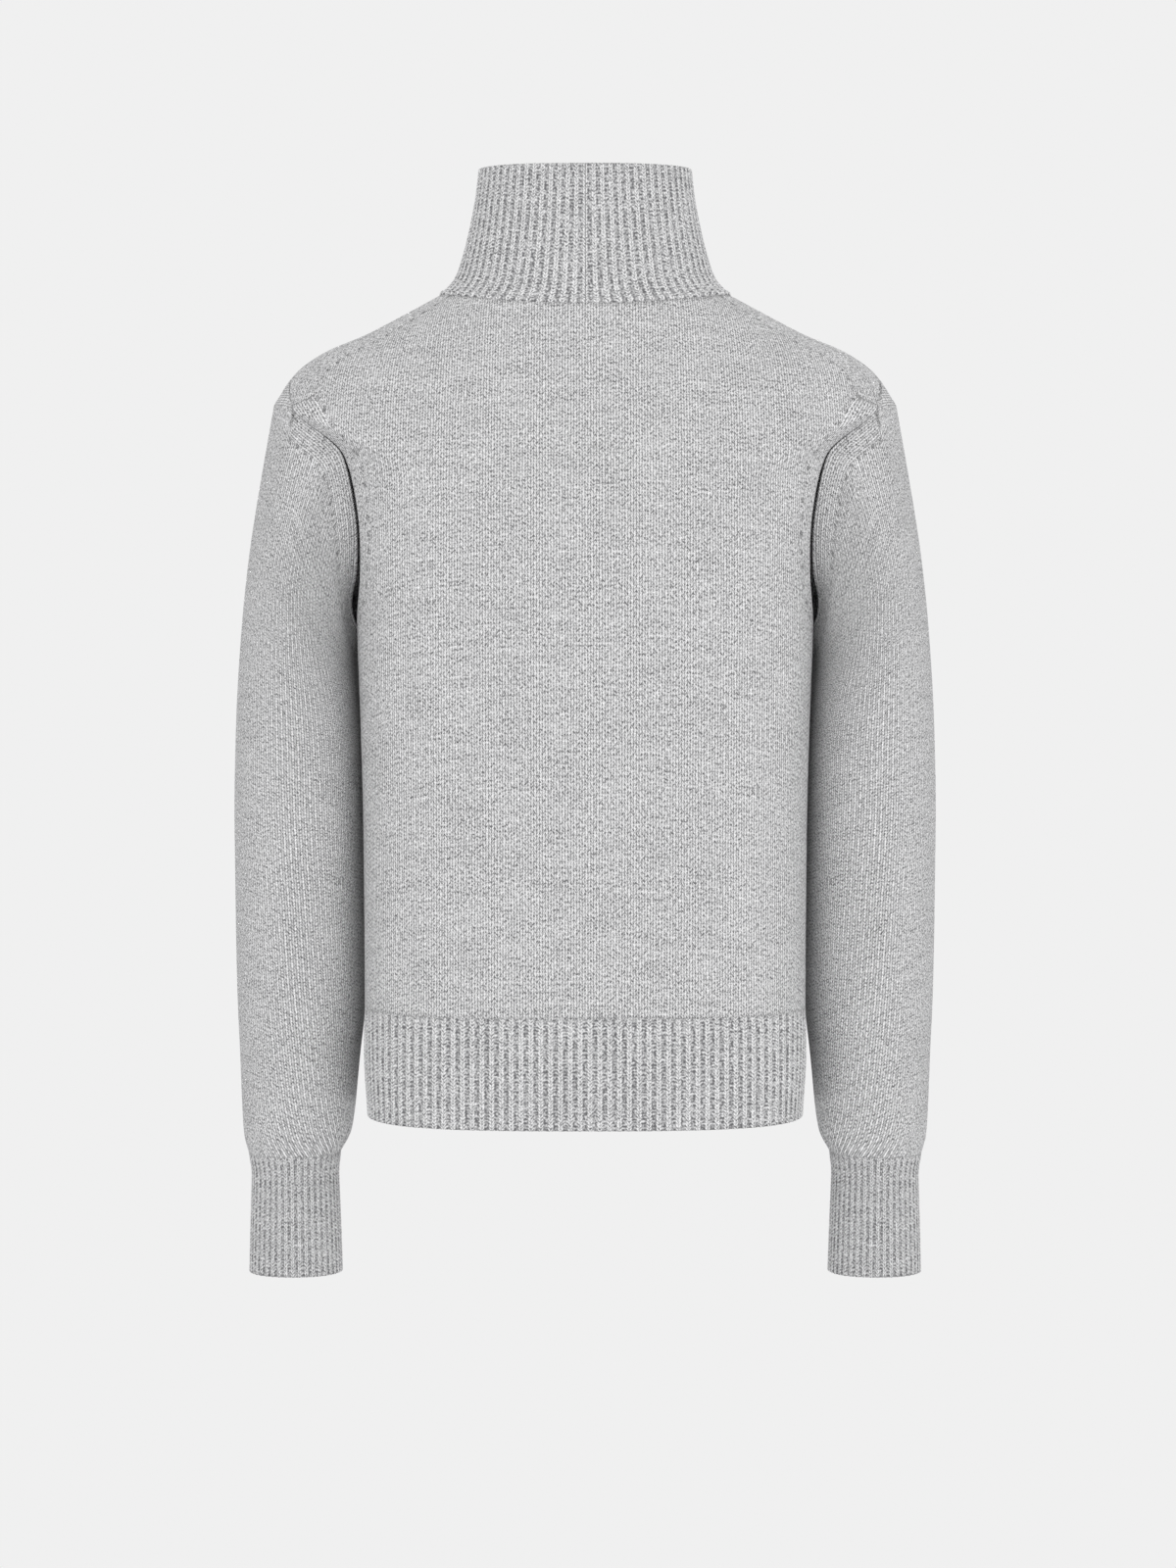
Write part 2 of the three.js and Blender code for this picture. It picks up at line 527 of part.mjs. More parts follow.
// The slider's place: its plate stands just in front of the collar's outer face.
const collarFrontY = -column(RISE, "front", RISE.length - 1.5);
const plateFront = collarFrontY - SLIDER.standOff - SLIDER.plate;
const backPlateY = collarFrontY + COLLAR + TAPE_GAP + TAPE.thick + SEAM;
const bailMiddle = sliderBase + SLIDER.height / 2;
const hinge = vec(0, plateFront - BAIL.gap / 2, bailMiddle - BAIL.height / 2 + BAIL.wire + PULL.bar / 2 + 0.6);

function slider() {
  const top = sliderBase + SLIDER.height;
  const webDepth = backPlateY - plateFront;
  const parts = [
    plate(SLIDER.width, sliderBase, top, 2.2, plateFront, SLIDER.plate),
    plate(SLIDER.width - 1, sliderBase, top, 2, backPlateY, SLIDER.plate),
    bar(SLIDER.web, webDepth, SLIDER.webHeight, 0, plateFront + webDepth / 2 + 0.2, top - SLIDER.webHeight / 2),
  ];
  const bridgeY = plateFront - BAIL.gap - BAIL.wire / 2;
  parts.push(bar(BAIL.width, BAIL.wire, BAIL.height, 0, bridgeY, bailMiddle));
  for (const end of [-1, 1]) {
    const footZ = bailMiddle + end * (BAIL.height - BAIL.wire) * 0.5;
    parts.push(bar(BAIL.width, BAIL.gap + BAIL.wire, BAIL.wire, 0, plateFront - (BAIL.gap + BAIL.wire) / 2 + 0.2, footZ));
  }
  return toGeometry(parts.map(toSolid).reduce((whole, part) => whole.add(part)));
}

// The pull hangs from a bar under the slider's bail; it is drawn about its own hinge.
function pull() {
  const windowTop = -PULL.bar / 2;
  const window = new THREE.Path();
  const half = PULL.windowWidth / 2;
  window.moveTo(-half, windowTop);
  window.lineTo(half, windowTop);
  window.lineTo(half, windowTop - PULL.window);
  window.lineTo(-half, windowTop - PULL.window);
  const hole = new THREE.Path().absarc(0, PULL.bar / 2 - PULL.length + 4.2, PULL.hole, 0, 2 * Math.PI, true);
  const low = PULL.bar / 2 - PULL.length;
  return plate(PULL.width, low, PULL.bar / 2, 0.6, -PULL.thick / 2, PULL.thick, [window, hole]);
}

// ---- The sweater ----
const yarn = new THREE.MeshStandardMaterial({ color: 0xc4c4c6, roughness: 0.95, metalness: 0 });
const ribYarn = new THREE.MeshStandardMaterial({ color: 0xbebec0, roughness: 0.95, metalness: 0 });
const tapeCloth = new THREE.MeshStandardMaterial({ color: 0xa9a9ac, roughness: 0.9, metalness: 0 });
const metal = new THREE.MeshStandardMaterial({ color: 0xb9bbbd, roughness: 0.35, metalness: 1 });

const sweater = new THREE.Group();
const add = (name, geometry, material) => {
  const mesh = new THREE.Mesh(geometry, material);
  mesh.name = name;
  sweater.add(mesh);
  return mesh;
};
// Adds a left piece and its mirror image on the right.
const addPair = (name, geometry, material) => {
  add("left_" + name, geometry, material);
  const points = geometry.getAttribute("position").array.map((value, k) => (k % 3 ? value : -value));
  add("right_" + name, closed([...points], [...geometry.index.array]), material);
};

add("back_panel", wall(wholeRows(panelRows(backOutline())), KNIT), yarn);
add("back_hem_rib", wall(wholeRows(hemRows(() => 90)), RIB), ribYarn);
addPair("front", wall(panelRows(frontOutline()), KNIT), yarn);
addPair("front_hem_rib", wall(hemRows((level) => frontEdgeAngle(BODY, level)), RIB), ribYarn);
add("collar", wall(collarRows(), COLLAR), ribYarn);
addPair("sleeve", wall(sleeveRows(), KNIT, 0, true), yarn);
addPair("cuff", wall(cuffRows(), RIB, 0, true), ribYarn);
addPair("zip_tape", tape(), tapeCloth);
addPair("zip_teeth", teeth(), metal);
addPair("zip_top_stop", topStop(), metal);
add("zip_box", zipBox(), metal);
add("zip_slider", slider(), metal);
add("zip_pull", pull(), metal).position.copy(hinge);

export default sweater;
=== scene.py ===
"""A zip-up sweater in grey melange knit with ribbed hem, cuffs and stand-up collar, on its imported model."""

import math

import bmesh
import bpy
import mathutils
import numpy as np
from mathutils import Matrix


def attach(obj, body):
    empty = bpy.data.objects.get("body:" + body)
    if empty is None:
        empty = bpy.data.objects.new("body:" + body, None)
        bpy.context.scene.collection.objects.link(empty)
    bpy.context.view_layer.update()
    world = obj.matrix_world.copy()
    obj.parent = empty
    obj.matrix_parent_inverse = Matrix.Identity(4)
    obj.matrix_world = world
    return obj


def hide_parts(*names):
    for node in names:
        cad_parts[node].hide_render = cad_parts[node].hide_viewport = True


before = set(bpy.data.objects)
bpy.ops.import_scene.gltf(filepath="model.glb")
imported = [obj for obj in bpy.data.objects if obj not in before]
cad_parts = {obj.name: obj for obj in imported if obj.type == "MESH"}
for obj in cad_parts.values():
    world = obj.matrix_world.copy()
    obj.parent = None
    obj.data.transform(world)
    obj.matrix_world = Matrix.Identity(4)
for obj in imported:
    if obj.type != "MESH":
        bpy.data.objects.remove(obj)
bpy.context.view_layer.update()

# ---------------------------------------------------------------- sizes, in millimetres
KNIT = 2.6  # wall of the plain knit
RIB = 2.6  # wall of the hem and cuff ribs, between their raised wales
COLLAR = 3.8
SLOT = 3.3
WALE, COURSE = 3.8, 2.5  # one stitch of the body's plain knit
ARM_WALE, ARM_COURSE = 3.7, 2.2
HEM_PITCH, CUFF_PITCH, COLLAR_PITCH = 6.6, 4.9, 5.7  # from one raised rib to the next
RIB_COURSE = 2.3
VALLEY = 7.5  # the deepest sink of the cloth at the seam behind the arm
VALLEY_BODY, VALLEY_ARM = 6.0, 30.0  # how far it spreads on each side of the seam
EDGE_WALES = 4.5  # wales that run along a shaped edge


def table(names, *rows):
    data = np.array(rows, float)
    return {name: data[:, k] for k, name in enumerate(names)}


BODY = table(
    ("sideX", "sideZ", "back", "backZ", "front", "frontZ", "square", "drop"),
    (150.5, -565, 104, -566, 108, -566, 3.3, 2),
    (152.2, -528, 103, -528, 108, -528, 3.2, 2),
    (151.2, -490, 101, -491, 107, -491, 3.1, 2),
    (151.5, -430, 101, -430, 109, -430, 3, 2),
    (152, -365, 101, -365, 113, -365, 3, 2),
    (153.5, -300, 103, -300, 119, -300, 3, 2),
    (156, -232, 105, -232, 122, -234, 3, 2),
    (159, -192, 106, -204, 121, -207, 3, 2.4),
    (165, -150, 106, -187, 119, -191, 2.8, 3),
    (179, -108, 105, -170, 116, -175, 2.4, 3.6),
    (215.5, -81, 103, -153, 113, -159, 2.1, 4),
    (210, -69, 101, -138, 110, -144, 2.1, 3.8),
    (199, -54, 98, -120, 107, -128, 2.1, 3.6),
    (180, -40.5, 94, -99, 101, -109, 2.1, 3.2),
    (151, -28, 86, -69, 93, -87, 2.1, 2.8),
    (125, -14.5, 77, -38, 84, -68, 2.1, 2.4),
    (100, -1, 68, -11, 75, -52, 2.1, 2),
)
RISE = table(
    ("sideX", "sideZ", "back", "backZ", "front", "frontZ", "square", "drop"),
    (100, -1, 68, -11, 75, -52, 2.1, 2),
    (89.5, 11, 62, 2, 72, -39, 2.1, 2),
    (83.5, 28, 58.5, 20, 70.5, -21, 2.2, 2),
    (78.6, 48, 56.5, 42, 69.5, 1, 2.3, 2),
    (75, 67, 55.5, 64, 69, 23, 2.4, 2),
    (73, 84.5, 55, 84, 68.5, 43, 2.4, 2),
)
SLEEVE = table(
    ("outX", "outZ", "inX", "inZ", "midY", "half", "square"),
    (215.5, -80, 157, -232, 0, 52, 2.2),
    (218.5, -98, 159, -240, 0, 53, 2.2),
    (225, -134, 159, -251, -1, 55, 2.3),
    (232, -178, 157.8, -264, -2, 57, 2.3),
    (238.3, -235, 156.4, -285, -4, 58, 2.3),
    (242.4, -300, 155.4, -318, -6, 57, 2.3),
    (244, -365, 155, -370, -9, 55, 2.3),
    (244, -425, 154.8, -427, -13, 52.5, 2.2),
    (243.6, -480, 155, -481, -17, 49.5, 2.2),
    (242.2, -530, 158.8, -530, -22, 46, 2.2),
    (241.4, -565, 161.8, -564, -26, 42, 2.2),
    (240.5, -585, 165, -584, -28, 37.5, 2.2),
    (237.3, -600, 172.5, -599, -30, 31.8, 2.2),
)
CUFF = table(
    ("outX", "outZ", "inX", "inZ", "midY", "half", "square"),
    (237.3, -600, 172.5, -599, -30, 31.8, 2.2),
    (235.2, -615, 174.3, -615, -31, 29.3, 2.2),
    (236.3, -647, 173.3, -647, -33, 29.8, 2.2),
    (237.6, -685, 172.3, -685, -36, 31, 2.2),
)
RIB_TOP, UNDERARM, TIP, NECK = 2, 6, 10, 16
COLLAR_TOP = 5
ARMHOLE = dict(half=28, low=UNDERARM, high=TIP + 0.3, square_low=2, square_high=6)
JOIN_BACK, JOIN_FRONT = 137, 223
SHOULDER_SEAM_NECK = 10
FRONT_LEVEL_AT_JOIN = 13.2
SLEEVE_SET_IN = 3
CREASE = dict(height=2.2, width=9, start_angle=134, end_angle=92, start=0.3, end=4.6)
LEAN = dict(slope=0.06, reach=55, start=-190, full=-250, leave=-480, end=-560)
EDGE_SHARE = 2


# ---------------------------------------------------------------- surfaces
def smooth(x, low, high):
    t = np.clip((x - low) / (high - low), 0, 1)
    return t * t * (3 - 2 * t)


def column(rows, key, place):
    v = rows[key]
    rise = np.diff(v)
    slope = np.concatenate([rise[:1], np.zeros(len(v) - 2), rise[-1:]])
    before, after = rise[:-1], rise[1:]
    same = before * after > 0
    slope[1:-1][same] = 2 * before[same] * after[same] / (before[same] + after[same])
    place = np.asarray(place, float)
    k = np.clip(np.floor(place).astype(int), 0, len(v) - 2)
    t = np.clip(place - k, 0, 1)
    step = t * t * (3 - 2 * t)
    return v[k] + step * rise[k] + t * (1 - t) ** 2 * slope[k] + t * t * (t - 1) * slope[k + 1]


def rounding(a, square):
    return (np.abs(np.cos(a)) ** square + np.abs(np.sin(a)) ** square) ** (-1 / square)


def lean_of(y, z):
    fade = smooth(z, LEAN["end"], LEAN["leave"]) * smooth(-z, -LEAN["start"], -LEAN["full"])
    return LEAN["slope"] * fade * np.clip(y, -LEAN["reach"], LEAN["reach"])


def ring_point(rows, angle, level):
    a = np.radians(angle)
    reach = rounding(a, column(rows, "square", level))
    behind = np.sin(a) > 0
    middle_z = np.where(behind, column(rows, "backZ", level), column(rows, "frontZ", level))
    middle_y = np.where(behind, column(rows, "back", level), column(rows, "front", level))
    side_z = column(rows, "sideZ", level)
    z = side_z + np.abs(np.sin(a)) ** column(rows, "drop", level) * (middle_z - side_z)
    y = middle_y * np.sin(a) * reach
    side = np.cos(a) * reach
    x = column(rows, "sideX", level) * side + lean_of(y, z) * np.maximum(side, 0) ** 4
    return np.stack([x, y, z], -1)


def body_point(angle, level):
    return ring_point(BODY, angle, level)


def collar_point(angle, level):
    return ring_point(RISE, angle, level)


def armhole(turn):
    a = np.radians(turn)
    square = np.where(np.cos(a) > 0, ARMHOLE["square_low"], ARMHOLE["square_high"])
    reach = rounding(a, square)
    middle = (ARMHOLE["low"] + ARMHOLE["high"]) / 2
    level = middle - (ARMHOLE["high"] - ARMHOLE["low"]) / 2 * np.cos(a) * reach
    return ARMHOLE["half"] * np.sin(a) * reach, level


def arm_ring(rows, turn, ring):
    a = np.radians(turn)
    reach = rounding(a, column(rows, "square", ring))
    across = 0.5 - 0.5 * np.cos(a) * reach
    y = column(rows, "midY", ring) + column(rows, "half", ring) * np.sin(a) * reach
    inner_z, outer_z = column(rows, "inZ", ring), column(rows, "outZ", ring)
    inner_x, outer_x = column(rows, "inX", ring), column(rows, "outX", ring)
    z = inner_z + (outer_z - inner_z) * across
    x = inner_x + (outer_x - inner_x) * across + lean_of(y, z) * (1 - np.clip(across, 0, 1)) ** 2
    return np.stack([x, y, z], -1)


def unit(v):
    return v / np.maximum(np.linalg.norm(v, axis=-1, keepdims=True), 1e-9)


def sleeve_point(turn, ring):
    turn, ring = np.broadcast_arrays(np.asarray(turn, float), np.asarray(ring, float))
    angle, level = armhole(turn)
    share = smooth(ring, 0, SLEEVE_SET_IN)[..., None]
    point = body_point(angle, level) * (1 - share) + arm_ring(SLEEVE, turn, ring) * share
    along = np.clip((ring - CREASE["start"]) / (CREASE["end"] - CREASE["start"]), 0, 1)
    centre = CREASE["start_angle"] + (CREASE["end_angle"] - CREASE["start_angle"]) * np.sqrt(along)
    side = (turn - centre) / CREASE["width"]
    lift = CREASE["height"] * np.sin(np.pi * np.sqrt(along)) * np.exp(-side * side)
    inner = arm_ring(SLEEVE, np.zeros_like(ring), ring)
    outer = arm_ring(SLEEVE, np.full_like(ring, 180), ring)
    middle = (inner + outer) / 2
    return point + unit(point - middle) * lift[..., None]


def cuff_point(turn, ring):
    return arm_ring(CUFF, turn, ring)


def normal_of(make, angle, level, top):
    near, step = 0.5, 0.02
    around = make(angle + near, level) - make(angle - near, level)
    up = make(angle, np.minimum(level + step, top)) - make(angle, np.maximum(level - step, 0))
    return unit(np.cross(around, up))


def arc_along(points, axis):
    """Length from the first point, along one direction of a grid."""
    step = np.linalg.norm(np.diff(points, axis=axis), axis=-1)
    start = np.zeros_like(np.take(step, [0], axis=axis))
    return np.concatenate([start, np.cumsum(step, axis=axis)], axis=axis)


class RingLengths:
    """Length along a ring from one angle, for the wales of the body and the ribs."""

    def __init__(self, rows, start, end, top):
        self.angles = np.linspace(start, end, 241)
        self.levels = np.linspace(0, top, 120)
        angle, level = np.meshgrid(self.angles, self.levels)
        flat = ring_point(rows, angle, level)
        flat[..., 2] = 0
        self.lengths = arc_along(flat, 1)

    def __call__(self, angle, level):
        i = np.interp(angle, self.angles, np.arange(len(self.angles)))
        if self.angles[0] > self.angles[-1]:
            i = np.interp(-np.asarray(angle), -self.angles, np.arange(len(self.angles)))
        j = np.interp(level, self.levels, np.arange(len(self.levels)))
        i0 = np.clip(i.astype(int), 0, len(self.angles) - 2)
        j0 = np.clip(j.astype(int), 0, len(self.levels) - 2)
        s, t = i - i0, j - j0
        low = self.lengths[j0, i0] * (1 - s) + self.lengths[j0, i0 + 1] * s
        high = self.lengths[j0 + 1, i0] * (1 - s) + self.lengths[j0 + 1, i0 + 1] * s
        return low * (1 - t) + high * t


# ---------------------------------------------------------------- grids to meshes
def loop_corners(mesh):
    """The corner point that each face corner stands on."""
    loops = np.zeros(len(mesh.loops), np.int32)
    mesh.loops.foreach_get("vertex_index", loops)
    return loops


def to_object(name, verts, faces, maps):
    """A smooth mesh in the scene, from millimetres, with its named maps."""
    mesh = bpy.data.meshes.new(name)
    mesh.from_pydata((verts / 1000).tolist(), [], faces.tolist())
    loops = loop_corners(mesh)
    for key, values in maps.items():
        layer = mesh.uv_layers.new(name=key)
        layer.data.foreach_set("uv", values[loops].astype(np.float32).ravel())
    mesh.polygons.foreach_set("use_smooth", np.ones(len(mesh.polygons), bool))
    mesh.update()
    made = bpy.data.objects.new(name, mesh)
    bpy.context.scene.collection.objects.link(made)
    return made


def shell(name, points, normals, thick, maps, mirror=False):
    """A closed sheet: the outer face, then round its edges to the inner face."""
    rows, cols = points.shape[:2]
    inner = points - normals * thick
    verts = np.concatenate([points.reshape(-1, 3), inner.reshape(-1, 3)])
    index = np.arange(rows * cols).reshape(rows, cols)
    back = index + rows * cols
    quads = [
        np.stack([index[:-1, :-1], index[:-1, 1:], index[1:, 1:], index[1:, :-1]], -1),
        np.stack([back[:-1, :-1], back[1:, :-1], back[1:, 1:], back[:-1, 1:]], -1),
    ]
    faces = [q.reshape(-1, 4) for q in quads]
    for a, b in ((index[0], back[0]), (index[-1][::-1], back[-1][::-1])):
        faces.append(np.stack([a[1:], a[:-1], b[:-1], b[1:]], -1))
    for a, b in ((index[:, 0][::-1], back[:, 0][::-1]), (index[:, -1], back[:, -1])):
        faces.append(np.stack([a[1:], a[:-1], b[:-1], b[1:]], -1))
    faces = np.concatenate(faces)
    doubled = {key: np.concatenate([m.reshape(-1, 2)] * 2) for key, m in maps.items()}
    if mirror:
        verts = verts * [-1, 1, 1]
        faces = faces[:, ::-1]
    made = to_object(name, verts, faces, doubled)
    bm = bmesh.new()
    bm.from_mesh(made.data)
    if bm.calc_volume(signed=True) < 0:
        bmesh.ops.reverse_faces(bm, faces=bm.faces)
        bm.to_mesh(made.data)
    bm.free()
    return made


def nearest_edge(points, edge):
    """Distance of each point from an edge line, and how far along the line that is."""
    along = arc_along(edge, 0)
    flat = points.reshape(-1, 3)
    best = np.full(len(flat), 1e9)
    where = np.zeros(len(flat))
    for k in range(len(edge) - 1):
        a, d = edge[k], edge[k + 1] - edge[k]
        t = np.clip(((flat - a) @ d) / max(d @ d, 1e-9), 0, 1)
        gap = np.linalg.norm(flat - a - t[:, None] * d, axis=1)
        nearer = gap < best
        best[nearer] = gap[nearer]
        where[nearer] = (along[k] + t * (along[k + 1] - along[k]))[nearer]
    return best.reshape(points.shape[:2]), where.reshape(points.shape[:2])


# ---------------------------------------------------------------- materials
class Value:
    """A shader number with arithmetic."""

    def __init__(self, nodes, socket):
        self.nodes, self.socket = nodes, socket

    def _do(self, operation, *others):
        node = self.nodes.tree.nodes.new("ShaderNodeMath")
        node.operation = operation
        for k, value in enumerate((self, *others)):
            self.nodes.feed(node.inputs[k], value)
        return Value(self.nodes, node.outputs[0])

    def __add__(self, other):
        return self._do("ADD", other)

    def __radd__(self, other):
        return self._do("ADD", other)

    def __sub__(self, other):
        return self._do("SUBTRACT", other)

    def __rsub__(self, other):
        return self * -1 + other

    def __mul__(self, other):
        return self._do("MULTIPLY", other)

    def __rmul__(self, other):
        return self._do("MULTIPLY", other)

    def __truediv__(self, other):
        return self._do("DIVIDE", other)

    def __pow__(self, other):
        return self._do("POWER", other)

    def __neg__(self):
        return self * -1

    def abs(self):
        return self._do("ABSOLUTE")

    def fract(self):
        return self._do("FRACT")

    def sin(self):
        return self._do("SINE")

    def cos(self):
        return self._do("COSINE")

    def least(self, other):
        return self._do("MINIMUM", other)

    def most(self, other):
        return self._do("MAXIMUM", other)

    def over(self, other):
        return self._do("GREATER_THAN", other)

    def under(self, other):
        return self._do("LESS_THAN", other)

    def ramp(self, low, high):
        node = self.nodes.make("ShaderNodeMapRange", {"interpolation_type": "SMOOTHSTEP"}, Value=self)
        node.inputs["From Min"].default_value = low
        node.inputs["From Max"].default_value = high
        return Value(self.nodes, node.outputs["Result"])


class Nodes:
    def __init__(self, name):
        self.material = bpy.data.materials.new(name)
        self.material.use_nodes = True
        self.tree = self.material.node_tree
        self.shader = self.tree.nodes["Principled BSDF"]

    def feed(self, socket, value):
        if isinstance(value, Value):
            self.tree.links.new(value.socket, socket)
        elif isinstance(value, bpy.types.NodeSocket):
            self.tree.links.new(value, socket)
        else:
            socket.default_value = value

    def make(self, kind, settings=None, **sockets):
        node = self.tree.nodes.new(kind)
        for key, value in (settings or {}).items():
            setattr(node, key, value)
        for key, value in sockets.items():
            self.feed(node.inputs[key.replace("_", " ")], value)
        return node

    def uv(self, name):
        place = self.make("ShaderNodeUVMap", {"uv_map": name}).outputs["UV"]
        split = self.make("ShaderNodeSeparateXYZ", Vector=place)
        return Value(self, split.outputs["X"]), Value(self, split.outputs["Y"])

    def noise(self, scale, detail=2.0, vector=None):
        if vector is None:
            vector = self.make("ShaderNodeTexCoord").outputs["Object"]
        node = self.make("ShaderNodeTexNoise", Vector=vector, Scale=scale, Detail=detail)
        return Value(self, node.outputs["Fac"])

    def vector(self, x, y, z):
        return self.make("ShaderNodeCombineXYZ", X=x, Y=y, Z=z).outputs["Vector"]

    def mix(self, share, a, b):
        node = self.make("ShaderNodeMix", {"data_type": "RGBA"})
        self.feed(node.inputs[0], share)
        self.feed(node.inputs[6], a)
        self.feed(node.inputs[7], b)
        return node.outputs[2]

    def bump(self, height, distance, strength=1.0, after=None):
        node = self.make("ShaderNodeBump", Height=height, Distance=distance, Strength=strength)
        if after is not None:
            self.feed(node.inputs["Normal"], after)
        return node.outputs["Normal"]

    def finish(self, color, roughness, normal, **constants):
        self.feed(self.shader.inputs["Base Color"], color)
        self.feed(self.shader.inputs["Roughness"], roughness)
        if normal is not None:
            self.feed(self.shader.inputs["Normal"], normal)
        for key, value in constants.items():
            self.shader.inputs[key.replace("_", " ")].default_value = value
        return self.material


def grey(value, warm=0.0):
    return (value + warm, value, value + 0.006 - warm, 1)


def stitch_of(wale, course, slant=0.9):
    """Height of a column of V stitches: 0 in the gaps, 1 on a leg; the plain knit also darkens its colour
    with it, as painted shade in the gaps.
    """
    side = (wale.fract() - 0.5).abs() * 2
    leg = 1 - (side * 2 - 1).abs() ** 2.2
    turn = ((course - side * slant) * (2 * math.pi)).cos() * 0.5 + 0.5
    return leg * (turn * 0.7 + 0.3)


def melange(n, wale, course):
    """The yarn's own uneven grey: streaks along the courses, single pale and dark stitches, and fibres."""
    patch = n.noise(1.0, 3, n.vector(wale * 2.0, course * 1.4, 0.0))
    streak = n.noise(1.0, 2, n.vector(wale * 0.12, course * 0.5, 7.0))
    broad = n.noise(26, 3)
    fleck = n.noise(800, 2)
    fibre = n.noise(2600, 1)
    yarn = (patch - 0.5) * 2.6 + (streak - 0.5) * 0.45 + (broad - 0.5) * 0.12 + (fleck - 0.5) * 0.6
    return yarn + (fibre - 0.5) * 0.3, fibre


def plain_knit(name, light, dark):
    n = Nodes(name)
    field_u, field_v = n.uv("field")
    edge_u, edge_v = n.uv("edge")
    wander = (n.noise(55, 2) - 0.5) * 0.4
    tremble = (n.noise(300, 1) - 0.5) * 0.3
    along_edge = edge_u.under(EDGE_WALES)
    wale = field_u + (edge_u - field_u) * along_edge + wander * 0.35 + tremble * 0.2
    course = field_v + (edge_v - field_v) * along_edge + wander + tremble
    height = stitch_of(wale, course)
    yarn, fibre = melange(n, wale, course)
    mark = ((edge_u - EDGE_WALES - 0.3).abs().under(0.42)) * ((edge_v * 0.25).fract().under(0.35))
    # Painted shade: the colour darkens with the stitch height into the gaps between the stitch legs; the
    # fashioning marks darken it further as real marks.
    shade = (height * 1.0 + 0.18) * (1 - mark * 0.45)
    tone = (shade + yarn).most(0.0).least(1.0)
    color = n.mix(tone, dark, light)
    fuzz = n.bump(fibre, 0.0005, 0.35)
    normal = n.bump(height - mark * 0.25, 0.0013, 1.0, fuzz)
    return n.finish(color, 0.95, normal, Sheen_Weight=0.25, Sheen_Roughness=0.6, Specular_IOR_Level=0.15)


def rib_knit(name, light, dark, raised=0.6):
    n = Nodes(name)
    rib_u, course_v = n.uv("field")
    tremble = (n.noise(300, 1) - 0.5) * 0.5
    wander = (n.noise(60, 2) - 0.5) * 0.4
    place = (rib_u.fract() - 0.5).abs() * 2
    inside = (place / raised).least(1.0)
    leg = 1 - (inside * 2 - 1).abs() ** 2.2
    course = course_v + wander + tremble
    turn = ((course - inside * 0.8) * (2 * math.pi)).cos() * 0.5 + 0.5
    knit = leg * 0.6 + 0.4
    on_rib = 1 - place.ramp(raised - 0.16, raised + 0.14)
    height = on_rib * (knit * (turn * 0.7 + 0.3)) + (1 - on_rib) * (turn * 0.2 + 0.03)
    yarn, fibre = melange(n, rib_u * 2, course_v)
    # Painted shade: the colour darkens with the height, in the troughs between the raised ribs and in the
    # gaps between the stitches.
    shade = height * 1.0 + 0.1
    tone = (shade + yarn * 0.9).most(0.0).least(1.0)
    color = n.mix(tone, dark, light)
    fuzz = n.bump(fibre, 0.0005, 0.35)
    normal = n.bump(height, 0.0011, 1.0, fuzz)
    return n.finish(color, 0.95, normal, Sheen_Weight=0.25, Sheen_Roughness=0.6, Specular_IOR_Level=0.15)


def woven_tape():
    n = Nodes("zip_tape_weave")
    u, v = n.uv("field")
    twill = ((u + v) * (2 * math.pi)).sin() * 0.5 + 0.5
    tone = (twill * 0.5 + n.noise(800) * 0.5)
    return n.finish(n.mix(tone, grey(0.3), grey(0.44)), 0.9, n.bump(twill, 0.0003, 0.6))


def zip_metal():
    n = Nodes("zip_metal")
    scratch = n.noise(1500, 3)
    tone = scratch.ramp(0.3, 0.7)
    color = n.mix(tone, grey(0.56), grey(0.68))
    return n.finish(color, scratch * 0.2 + 0.22, n.bump(scratch, 0.00005, 0.3), Metallic=1.0)


# The dark ends are the colour of the painted shade in the stitch gaps and rib troughs, and of the darkest
# yarn in the random grey.
knit = plain_knit("plain_knit", grey(1.0), grey(0.12))
rib = rib_knit("rib_knit", grey(0.97), grey(0.13))
tape_cloth = woven_tape()
metal = zip_metal()


# ---------------------------------------------------------------- pieces
def settle(made, node, material, body="garment"):
    made.data.materials.clear()
    made.data.materials.append(material)
    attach(made, body)
    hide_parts(node)
    return made


def front_edge_angle(rows, level, x=SLOT):
    return -np.degrees(np.arccos(x / column(rows, "sideX", level)))


def shoulder_angle(level):
    angle, start = armhole(JOIN_BACK)
    return angle + (SHOULDER_SEAM_NECK - angle) * (level - start) / (NECK - start)


JOIN_LEVEL = float(armhole(JOIN_BACK)[1])
back_lengths = RingLengths(BODY, 90, 0, NECK)
front_lengths = RingLengths(BODY, -90, 40, NECK)


def back_outline():
    """Rows of the back's edge: angle, level, level in the middle, and whether the edge is shaped."""
    side = np.linspace(RIB_TOP, UNDERARM, 60)[:-1]
    angle, level = armhole(np.linspace(0, JOIN_BACK, 56))
    top = np.linspace(JOIN_LEVEL, NECK, 48)[1:]
    return np.concatenate([
        np.stack([side * 0, side, side, side * 0], 1),
        np.stack([angle, level, level, level * 0 + 1], 1),
        np.stack([shoulder_angle(top), top, top, top * 0 + 1], 1),
    ])


